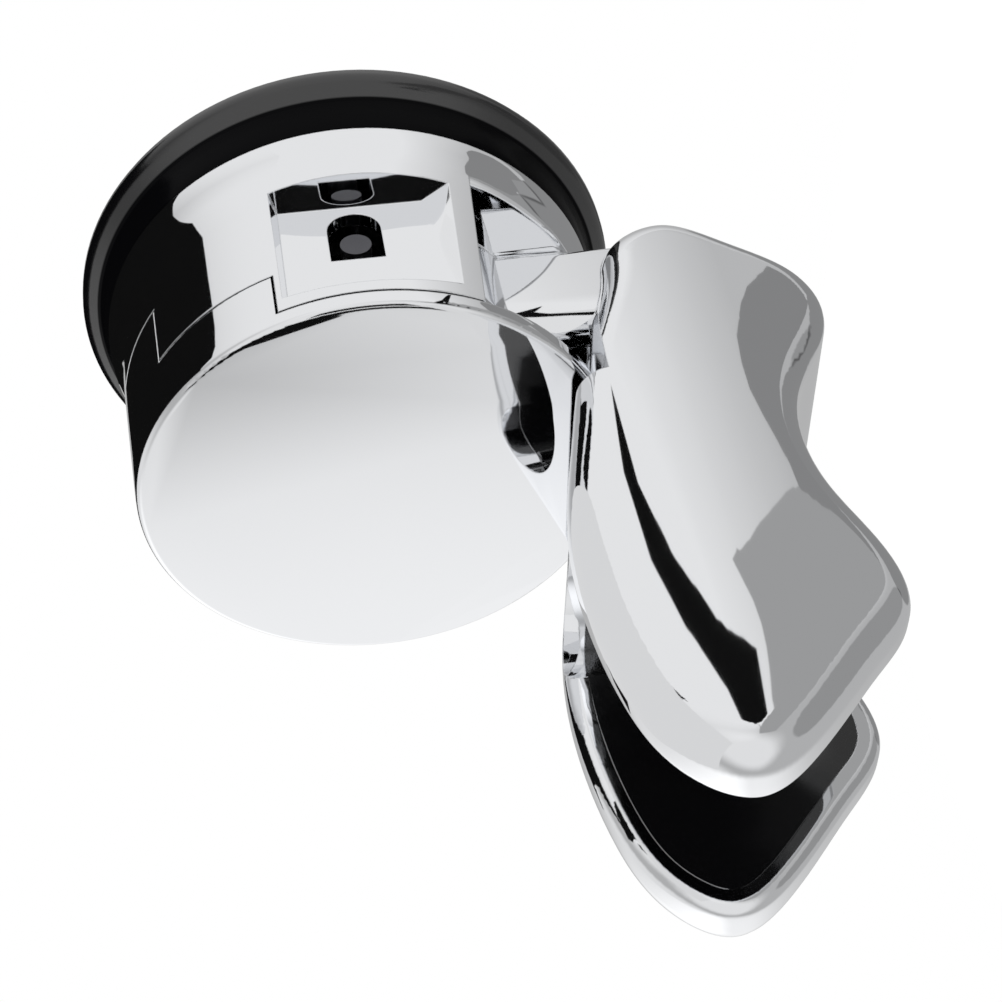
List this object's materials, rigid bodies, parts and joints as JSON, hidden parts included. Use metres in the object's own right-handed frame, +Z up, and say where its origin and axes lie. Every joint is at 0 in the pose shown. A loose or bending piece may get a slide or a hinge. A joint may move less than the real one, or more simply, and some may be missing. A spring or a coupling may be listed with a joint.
{
  "type": "hand shower holder",
  "caption": "Suction-mounted hand shower holder: round chrome body with a lever lid that draws the cup tight, and a tapered forked cradle for the handle.",
  "frame": {"origin": "centre of the suction cup's rim, in the plane of the wall", "axes": "+Y into the wall, +Z up the wall, -Y out into the room"},
  "size_m": [0.06, 0.0836, 0.0784],
  "materials": {
    "chrome_shell": "mirror chrome plating on plastic",
    "cup_rubber": "semi-gloss",
    "liner_plastic": "gloss",
    "pin_steel": "dark satin",
    "inner_plastic": "matt"
  },
  "bodies": {
    "base": {"rear_housing": "chrome_shell", "suction_cup": "cup_rubber", "cradle_shell": "chrome_shell", "cradle_liner": "liner_plastic", "cradle_screw": "pin_steel", "lid_hinge_pin": "pin_steel", "rocker_pin": "pin_steel"},
    "lid": {"lid_cap": "chrome_shell", "lid_yoke": "inner_plastic"},
    "rocker": {"rocker_fork": "inner_plastic"},
    "stud": {"centre_stud": "inner_plastic", "cross_pin": "pin_steel"}
  },
  "joints": [
    {"name": "lid_open", "type": "hinge", "parent": "base", "child": "lid", "pos_m": [0, -0.0284, -0.0165], "axis": [1, 0, 0], "range_deg": [0, 40]},
    {"name": "rocker_turn", "type": "hinge", "parent": "base", "child": "rocker", "pos_m": [0, -0.016, 0.0105], "axis": [1, 0, 0], "range_deg": [0, 13.21]},
    {"name": "stud_draw", "type": "slide", "parent": "base", "child": "stud", "axis": [0, 1, 0], "range_m": [0, 0.0024], "deforming": ["suction_cup"]}
  ],
  "couplings": [
    {"joint": "rocker_turn", "follows": "lid_open", "ratio": 0.33031},
    {"joint": "stud_draw", "follows": "lid_open", "m_per_rad": 0.0034376}
  ]
}
